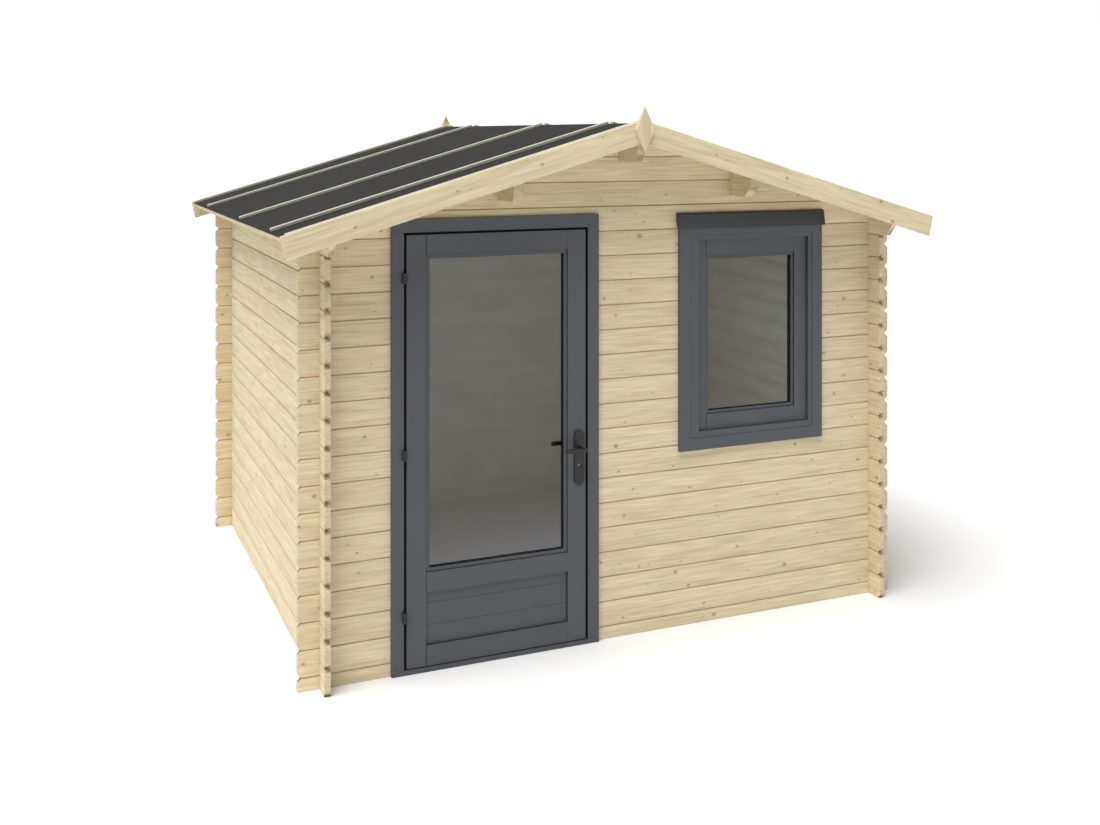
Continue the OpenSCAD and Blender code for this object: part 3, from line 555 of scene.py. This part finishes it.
def glazing(name, body, bead_node, glass_node, width):
    """Beads on both sides of a pane, set back from the face, black seals round the pane, and a strip of
    painted shade in the gap before the front bead.
    """
    low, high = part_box(bead_node)
    pane_low, pane_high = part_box(glass_node)
    face, rear = low.y + BEAD_BACK, pane_high.y + BEAD_REAR
    bm = bmesh.new()
    for front, back in ((face, pane_low.y), (pane_high.y, rear)):
        mitred(bm, low.x, high.x, low.z, high.z, width, front, back, FRAME_EDGE)
    piece(name + "_beads", bm, paint_upright, body, PAINT, bead_node)
    # Painted shade in the gap before the front bead, and the black seals round the pane
    bm = bmesh.new()
    mitred(bm, low.x, high.x, low.z, high.z, THIN_SEAL_AND_SHADE, low.y + THIN_SEAL_AND_SHADE, face)
    inset = (low.x + width, high.x - width, low.z + width, high.z - width)
    for front, back in ((face + FRAME_EDGE, pane_low.y), (pane_high.y, rear)):
        mitred(bm, *inset, THIN_SEAL_AND_SHADE, front, back)
    piece(name + "_glass_seals_and_shade", bm, seal_and_shade_black, body, BLACK)
    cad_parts[glass_node].material_slots[0].material = pane


# ---- Walls ----

FRONT_SEAMS = {corner.x for node in ("front_wall_over_door", "front_wall_over_window")
               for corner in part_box(node)}
for node in ("front_wall_left", "front_wall_middle", "front_wall_right", "front_wall_under_window",
             "front_wall_over_window", "front_wall_over_door", "front_gable", "back_wall", "back_gable"):
    dressed(node + "_logs", node, front_logs, SPRUCE, seams=FRONT_SEAMS)
for node in ("left_wall", "right_wall"):
    dressed(node + "_logs", node, side_logs, SPRUCE)
for node, material in (("left_eaves_log", long_timber), ("right_eaves_log", long_timber),
                       ("ridge_purlin", shaded_purlin_timber), ("left_purlin", shaded_purlin_timber),
                       ("right_purlin", shaded_purlin_timber)):
    dressed(node + "_timber", node, material, SPRUCE, width=TIMBER_EDGE)

# ---- Roof ----

for side, node, material in ((-1, "left_roof_deck", left_boards), (1, "right_roof_deck", right_boards)):
    low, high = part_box(node)
    board_w = (high.y - low.y) / ROOF_BOARDS
    # The deck's box ends at the ridge and at the eaves edge; its underside ends a little sooner
    outer_x = max(abs(low.x), abs(high.x))
    outline = [
        (0, high.z - DECK_T / math.cos(ROOF_PITCH)), (0, high.z),
        (side * outer_x, high.z - outer_x * math.tan(ROOF_PITCH)),
        (side * (outer_x - DECK_T * math.sin(ROOF_PITCH)), low.z),
    ]
    bm = bmesh.new()
    for i in range(ROOF_BOARDS):
        y = low.y + i * board_w
        prism(bm, outline, y + BOARD_GAP, y + board_w - BOARD_GAP, ROOF_BOARD_EDGE, 1)
    piece(node + "_boards", bm, material, HOUSE, SPRUCE, node)

for side in ("left", "right"):
    dressed(side + "_felt_sheet", side + "_roof_felt", felt_skin, "roofing_felt",
            width=FELT_EDGE, segments=1)

for side, name, material in ((-1, "left_roof_battens", left_batten),
                             (1, "right_roof_battens", right_batten)):
    bm = copied("roof_battens")
    other_slope = [v for v in bm.verts if v.co.x * side < 0]
    bmesh.ops.delete(bm, geom=other_slope, context="VERTS")
    piece(name, bm, material, HOUSE, "grey_batten", "roof_battens")
dressed("eaves_strips", "eaves_battens", eaves_strip, SPRUCE)
for end in ("front", "back"):
    for name, node, material in (("_left_barge", "_left_bargeboard", left_board),
                                 ("_right_barge", "_right_bargeboard", right_board),
                                 ("_kite", "_finial", upright_board)):
        dressed(end + name, end + node, material, SPRUCE, width=TIMBER_EDGE)

# ---- Door frame ----

for name, node, material in (("door_jamb_boards", "door_jambs", paint_upright),
                             ("door_head_board", "door_head", paint_level),
                             ("door_sill", "door_threshold", paint_level)):
    dressed(name, node, material, PAINT, width=FRAME_EDGE)

low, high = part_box("door_casing")
leaf_low, leaf_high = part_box("door_leaf")
sill_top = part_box("door_threshold")[1].z
left, right, top = leaf_low.x - LEAF_GAP, leaf_high.x + LEAF_GAP, leaf_high.z + LEAF_GAP
bm = bmesh.new()
block(bm, low, (left, high.y, top), FRAME_EDGE)
block(bm, (right, low.y, low.z), (high.x, high.y, top), FRAME_EDGE)
piece("door_casing_sides", bm, paint_upright, HOUSE, PAINT, "door_casing")
bm = bmesh.new()
block(bm, (low.x, low.y, top), high, FRAME_EDGE)
block(bm, (left, low.y, 0), (right, high.y, sill_top), FRAME_EDGE)
piece("door_casing_boards", bm, paint_level, HOUSE, PAINT, "door_casing")
# Black strips of painted shade line the frame in the gap round the leaf
bm = bmesh.new()
face, rear = low.y + SHADE_STRIP_BACK, leaf_high.y
block(bm, (left, face, sill_top), (left + FRAME_SHADE_STRIP, rear, top), 0)
block(bm, (right - FRAME_SHADE_STRIP, face, sill_top), (right, rear, top), 0)
block(bm, (left, face, top - FRAME_SHADE_STRIP), (right, rear, top), 0)
piece("door_frame_shade_strips", bm, seal_and_shade_black, HOUSE, BLACK)


# ---- Leaf and sash: stiles and rails round an opening ----

def stiles_and_rails(name, body, node, low, high, opening_low, opening_high, rails):
    """The framing of a leaf or a sash. The rails are pairs of heights."""
    bm = bmesh.new()
    block(bm, low, (opening_low.x, high.y, high.z), LEAF_EDGE)
    block(bm, (opening_high.x, low.y, low.z), high, LEAF_EDGE)
    piece(name + "_stiles", bm, paint_upright, body, PAINT, node)
    bm = bmesh.new()
    for foot, top in rails:
        block(bm, (opening_low.x + JOINT_W, low.y, foot), (opening_high.x - CLOSED_JOINT, high.y, top),
              LEAF_EDGE)
    piece(name + "_rails", bm, paint_level, body, PAINT, node)


def joint_shade_strips(bm, x, low_y, high_y, rails):
    """Adds black strips of painted shade in the joints at the left end of each rail."""
    for foot, top in rails:
        block(bm, (x, low_y + SHADE_STRIP_BACK, foot), (x + JOINT_W, high_y, top), 0)


# ---- Door leaf ----

low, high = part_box("door_beading")
panel_low, panel_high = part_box("door_panel")
panel_foot, panel_top = panel_low.z + PANEL_GROOVE, panel_high.z - PANEL_GROOVE
leaf_top = leaf_high.z - LEAF_EDGE_SHADE
rails = ((leaf_low.z, panel_foot), (panel_top, low.z), (high.z, leaf_top))
stiles_and_rails("leaf", DOOR, "door_leaf", leaf_low + Vector((HINGE_EDGE_SHADE, 0, 0)),
                 leaf_high - Vector((LEAF_EDGE_SHADE, 0, LEAF_EDGE_SHADE)), low, high, rails)
# Painted shade: black strips in the gaps at the leaf's edges, in the rails' joints, round the panel and
# in its joints
bm = bmesh.new()
face = leaf_low.y + SHADE_STRIP_BACK
block(bm, (leaf_low.x, face, leaf_low.z), (leaf_low.x + HINGE_EDGE_SHADE, leaf_high.y, leaf_high.z), 0)
block(bm, (leaf_high.x - LEAF_EDGE_SHADE, face, leaf_low.z), leaf_high, 0)
block(bm, (leaf_low.x, face, leaf_top), leaf_high, 0)
joint_shade_strips(bm, low.x, leaf_low.y, leaf_high.y, rails)
mitred(bm, low.x, high.x, panel_foot, panel_top, THIN_SEAL_AND_SHADE, face, panel_low.y)
for joint in PANEL_JOINTS:
    front, back = (panel_low.y + depth for depth in PANEL_JOINT_SHADES)
    block(bm, (low.x, front, joint - HALF_PANEL_JOINT), (high.x, back, joint + HALF_PANEL_JOINT), 0)
piece("leaf_shade_strips", bm, seal_and_shade_black, DOOR, BLACK)
dressed("leaf_panel_boards", "door_panel", paint_level, PAINT, DOOR, LEAF_EDGE, 1)
glazing("leaf", DOOR, "door_beading", "door_glass", LEAF_BEAD_W)

# ---- Hinges and lock ----

KEY_PROFILE = [(0, -0.0008), (0.0046, -0.0008), (0.005, -0.0004), (0.005, 0), (0.0078, 0),
               (0.0082, 0.0004), (0.0082, 0.05), (0, 0.05)]
KEY_PROUD = 0.0015  # of the leaf's face

for name, node, body, width, segments in (("hinge_frames", "frame_hinges", HOUSE, HINGE_EDGE, 2),
                                          ("hinge_leaves", "leaf_hinges", DOOR, HINGE_EDGE, 2),
                                          ("lock_plates", "door_lock", DOOR, PLAIN_EDGE, 2),
                                          ("lever_handles", "door_levers", LEVER, LEVER_EDGE, 3)):
    dressed(name, node, black, BLACK, body, width, segments)
low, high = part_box("door_lock")
bm = bmesh.new()
turned(bm, KEY_PROFILE, ((low.x + high.x) / 2, leaf_low.y - KEY_PROUD, KEYHOLE))
piece("key_cylinder", bm, nickel, DOOR, BLACK)

# ---- Window ----

for name, node, material, slot in (("window_casing_boards", "window_casing", paint_upright, PAINT),
                                   ("window_cap_board", "window_cap", cap_paint, "dark_paint"),
                                   ("window_frame_boards", "window_frame", paint_upright, PAINT)):
    dressed(name, node, material, slot, width=FRAME_EDGE)
sash_low, sash_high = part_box("window_sash")
low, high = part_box("window_beading")
rails = ((sash_low.z, low.z), (high.z, sash_high.z))
stiles_and_rails("sash", HOUSE, "window_sash", sash_low, sash_high, low, high, rails)
glazing("sash", HOUSE, "window_beading", "window_glass", SASH_BEAD_W)
# Painted shade: black strips in the rebate round the sash and in the rails' joints
bm = bmesh.new()
mitred(bm, sash_low.x, sash_high.x, sash_low.z, sash_high.z, THIN_SEAL_AND_SHADE, sash_low.y - REBATE, sash_low.y)
joint_shade_strips(bm, low.x, sash_low.y, sash_high.y, rails)
piece("sash_shade_strips", bm, seal_and_shade_black, HOUSE, BLACK)

# ---- Floor and background ----

FLOOR_WHITE = 0.83  # the lit floor shows as white, its shadow stays
LIGHT_FLOOR = 0.9  # what the floor throws back onto the house
ROOM_FLOOR_BOUNCE_TINT = (0.78, 0.68, 0.52, 1)  # the ground inside the walls, painted beige for the warm light that the log walls throw onto it
FLOOR_REACH = 40
FLOOR_DROP = 0.0005
SKY = 0.12
VIEWERS = ("Camera", "Glossy", "Transmission")  # the rays that see a white background

mesh = bpy.data.meshes.new("floor")
mesh.from_pydata([(x * FLOOR_REACH, y * FLOOR_REACH, 0) for x, y in ((-1, -1), (1, -1), (1, 1), (-1, 1))],
                 [], [(0, 1, 2, 3)])
floor = placed("floor", mesh)
floor.location.z = -FLOOR_DROP
g = new_graph("floor", empty=True)
x, y, _ = g.axes(g.node("NewGeometry", {}).outputs["Position"])
back_wall_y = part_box("back_wall")[0].y
within = [g.math("LESS_THAN", g.math("ABSOLUTE", value), limit)
          for value, limit in ((x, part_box("right_wall")[0].x), (y, back_wall_y))]
white = g.mix(g.rays(*VIEWERS), grey(LIGHT_FLOOR), grey(FLOOR_WHITE))
# Painted bounce light: the ground inside the walls takes a warm beige
ground = g.mix(g.times(*within), white, ROOM_FLOOR_BOUNCE_TINT)
g.node("OutputMaterial", {"Surface": g.shader("BsdfDiffuse", Color=ground)})
mesh.materials.append(g.owner)

world = bpy.data.worlds.new("studio")
bpy.context.scene.world = world
g = Graph(world, empty=True)
strength = g.node("MapRange", {"Value": g.rays(*VIEWERS), "To Min": SKY, "To Max": 1}).outputs[0]
g.node("OutputWorld", {"Surface": g.shader("Background", Color=grey(1), Strength=strength)})

# ---- Lamps ----

# A broad sun: its heading goes from the front towards the left, its climb from the floor up
KEY_LIGHT = 4.2
KEY_WIDTH, KEY_HEADING, KEY_CLIMB = (math.radians(angle) for angle in (46, 60, 69))
# A soft lamp behind the front wall, for the daylight that the room gets
ROOM_LIGHT = 18.5
ROOM_HUE = (0.69, 0.79, 1)  # cool daylight
ROOM_LAMP_SIZE = (2.2, 1.5)
ROOM_LAMP_IN, ROOM_LAMP_Z = 0.35, 0.95  # from the front wall's inner face, and over the floor

data = bpy.data.lights.new("key", "SUN")
data.energy = KEY_LIGHT
data.angle = KEY_WIDTH
away = Vector((math.sin(KEY_HEADING) * math.cos(KEY_CLIMB), math.cos(KEY_HEADING) * math.cos(KEY_CLIMB),
               -math.sin(KEY_CLIMB)))
placed("key", data).rotation_euler = away.to_track_quat("-Z", "Y").to_euler()

data = bpy.data.lights.new("room", "AREA")
data.shape = "RECTANGLE"
data.size, data.size_y = ROOM_LAMP_SIZE
data.energy = ROOM_LIGHT
data.color = ROOM_HUE
room = placed("room", data)
room.location = (0, ROOM_LAMP_IN - back_wall_y, ROOM_LAMP_Z)
room.rotation_euler.x = math.radians(90)
room.visible_camera = room.visible_transmission = room.visible_glossy = False
